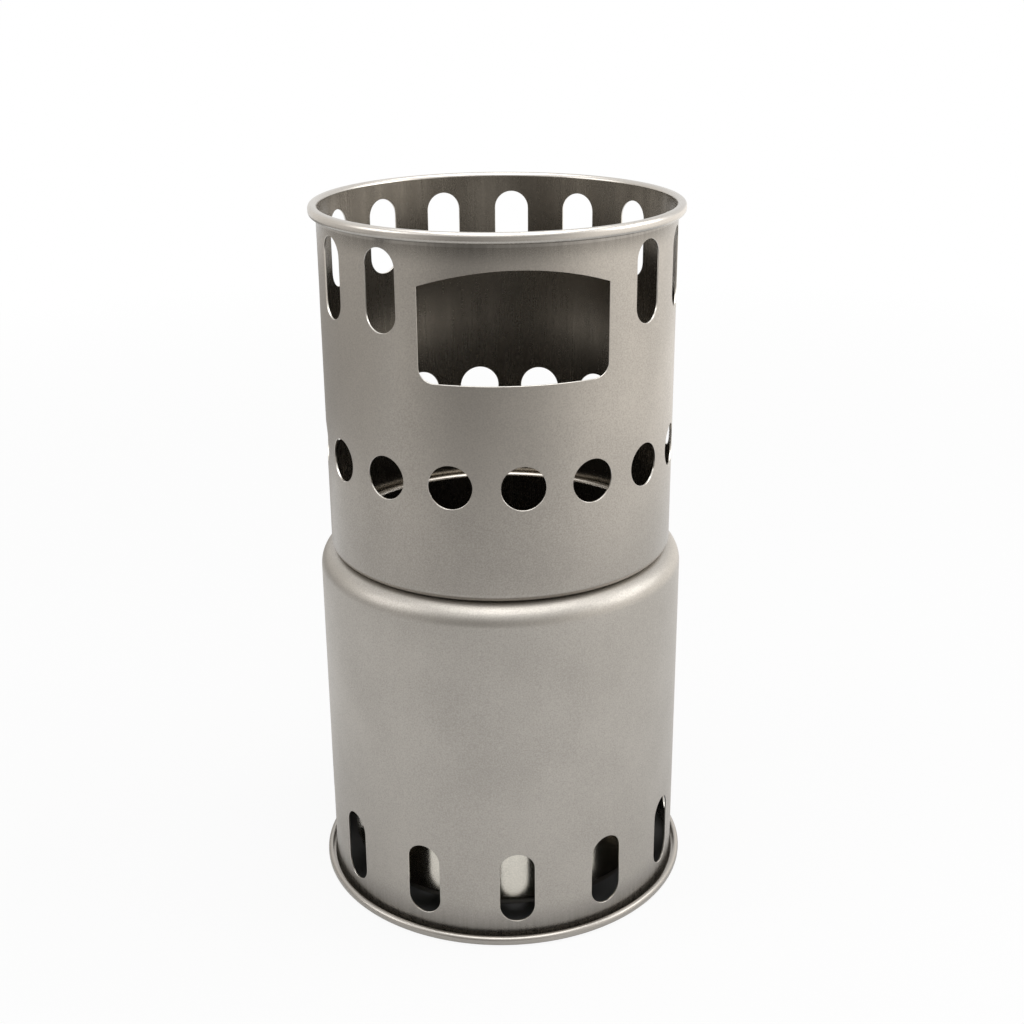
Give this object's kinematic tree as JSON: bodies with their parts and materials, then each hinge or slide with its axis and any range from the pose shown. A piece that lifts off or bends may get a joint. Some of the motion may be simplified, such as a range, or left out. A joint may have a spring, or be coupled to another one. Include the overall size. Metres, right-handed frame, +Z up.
{
  "type": "backpacking wood stove",
  "caption": "Double-wall wood stove of nested drawn titanium cans: slotted base can, hanging firebox with grate, and pot stand with arched feed window and rolled rim.",
  "frame": {"origin": "centre of the ground plane under the base can, on the common axis of the three cans", "axes": "+Z up along the axis of the cans, -Y towards the feed window"},
  "size_m": [0.1168, 0.1168, 0.214],
  "materials": {
    "base_sheet": "bare titanium, fine satin with faint upright drawing streaks",
    "firebox_sheet": "bare titanium, satin",
    "stand_sheet": "bare titanium, fine satin with faint upright drawing streaks"
  },
  "bodies": {
    "base_can": {"base_can": "base_sheet"},
    "pot_stand": {"pot_stand": "stand_sheet"},
    "firebox": {"firebox": "firebox_sheet"}
  },
  "joints": [
    {"name": "pot_stand_lift", "type": "slide", "parent": "base_can", "child": "pot_stand", "axis": [0, 0, 1], "range_m": [0, 0.12]},
    {"name": "firebox_lift", "type": "slide", "parent": "pot_stand", "child": "firebox", "axis": [0, 0, 1], "range_m": [0, 0.22]}
  ]
}
